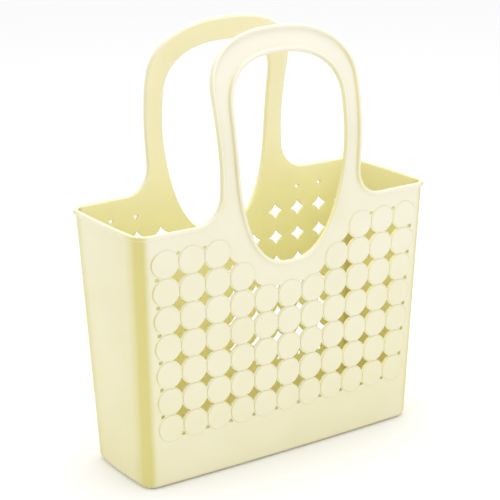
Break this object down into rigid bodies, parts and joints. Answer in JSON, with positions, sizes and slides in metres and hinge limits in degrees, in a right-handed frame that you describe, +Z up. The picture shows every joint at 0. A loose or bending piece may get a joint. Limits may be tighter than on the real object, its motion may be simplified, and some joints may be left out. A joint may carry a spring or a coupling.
{
  "type": "shower caddy",
  "caption": "Open plastic tote for bath things, with pierced panels of raised discs, plain ends, a beaded rim and two arched carrying handles.",
  "frame": {"origin": "centre of the flat underside, on the surface the caddy stands on", "axes": "+Z up, X along the wide panels, -Y out of the front panel"},
  "size_m": [0.3214, 0.1332, 0.4004],
  "materials": {
    "base_tray_plastic": "satin, pale yellow",
    "front_panel_plastic": "satin, pale yellow",
    "rear_panel_plastic": "satin, pale yellow",
    "left_end_wall_plastic": "satin, pale yellow",
    "right_end_wall_plastic": "satin, pale yellow",
    "left_rim_bead_plastic": "satin, pale yellow",
    "right_rim_bead_plastic": "satin, pale yellow",
    "front_handle_plastic": "satin, pale yellow",
    "rear_handle_plastic": "satin, pale yellow"
  },
  "bodies": {
    "tub": {"base_tray": "base_tray_plastic", "front_panel": "front_panel_plastic", "rear_panel": "rear_panel_plastic", "left_end_wall": "left_end_wall_plastic", "right_end_wall": "right_end_wall_plastic", "left_rim_bead": "left_rim_bead_plastic", "right_rim_bead": "right_rim_bead_plastic"},
    "front_handle": {"front_handle": "front_handle_plastic"},
    "rear_handle": {"rear_handle": "rear_handle_plastic"}
  },
  "joints": [
    {"name": "front_handle_flex", "type": "hinge", "parent": "tub", "child": "front_handle", "pos_m": [0, -0.06249, 0.258], "axis": [-1, 0, 0], "range_deg": [-10, 13], "stiffness_Nm_per_rad": 0.6, "springref_deg": -0.25},
    {"name": "rear_handle_flex", "type": "hinge", "parent": "tub", "child": "rear_handle", "pos_m": [0, 0.06249, 0.258], "axis": [1, 0, 0], "range_deg": [-10, 13], "stiffness_Nm_per_rad": 0.6, "springref_deg": -0.25}
  ]
}
